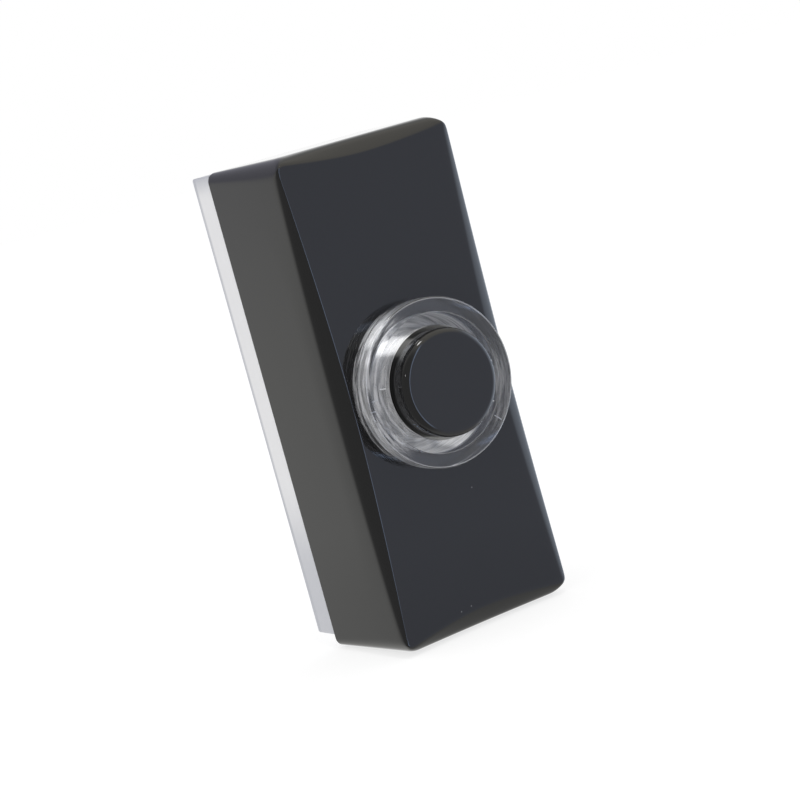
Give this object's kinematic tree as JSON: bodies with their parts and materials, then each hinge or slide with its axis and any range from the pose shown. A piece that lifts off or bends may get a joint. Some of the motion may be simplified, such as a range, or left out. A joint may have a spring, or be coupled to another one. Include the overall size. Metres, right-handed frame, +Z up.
{
  "type": "doorbell push button",
  "caption": "Doorbell push: gloss black cover with scalloped front edges, clear collar round a sprung black button, clear wall plate, switch and lamp inside.",
  "frame": {"origin": "on the wall plane, behind the centre of the cover and of the button", "axes": "+Z up along the long side of the cover, +Y into the wall, the button faces -Y"},
  "size_m": [0.0322, 0.0358, 0.08],
  "materials": {
    "clear_polycarbonate": "clear, polished",
    "black_gloss_abs": "moulded, high gloss",
    "clear_acrylic": "clear, polished",
    "black_button_abs": "moulded, high gloss",
    "spring_steel": "drawn wire",
    "white_abs": "moulded, satin",
    "zinc_plated_steel": "zinc plated",
    "brass": "turned",
    "contact_bronze": "rolled strip",
    "lamp_epoxy": "clear epoxy",
    "tinned_wire": "tinned",
    "resistor_lacquer": "lacquered"
  },
  "bodies": {
    "housing": {"back_plate": "clear_polycarbonate", "cover": "black_gloss_abs", "lens_ring": "clear_acrylic", "return_spring": "spring_steel", "switch_carrier": "white_abs", "carrier_screw_lower": "zinc_plated_steel", "carrier_screw_upper": "zinc_plated_steel", "terminal_insert_left": "brass", "terminal_insert_right": "brass", "terminal_screw_left": "zinc_plated_steel", "terminal_screw_right": "zinc_plated_steel", "clamp_washer_left": "zinc_plated_steel", "clamp_washer_right": "zinc_plated_steel", "moving_contact": "contact_bronze", "fixed_contact": "contact_bronze", "led_lamp": "lamp_epoxy", "led_lead_left": "tinned_wire", "led_lead_right": "tinned_wire", "resistor_body": "resistor_lacquer", "resistor_lead_upper": "tinned_wire", "resistor_lead_lower": "tinned_wire"},
    "button": {"push_button": "black_button_abs"}
  },
  "joints": [
    {"name": "button_press", "type": "slide", "parent": "housing", "child": "button", "axis": [0, 1, 0], "range_m": [0, 0.0018], "stiffness_N_per_m": 600, "springref_m": -0.002, "deforming": ["return_spring", "moving_contact"]}
  ]
}
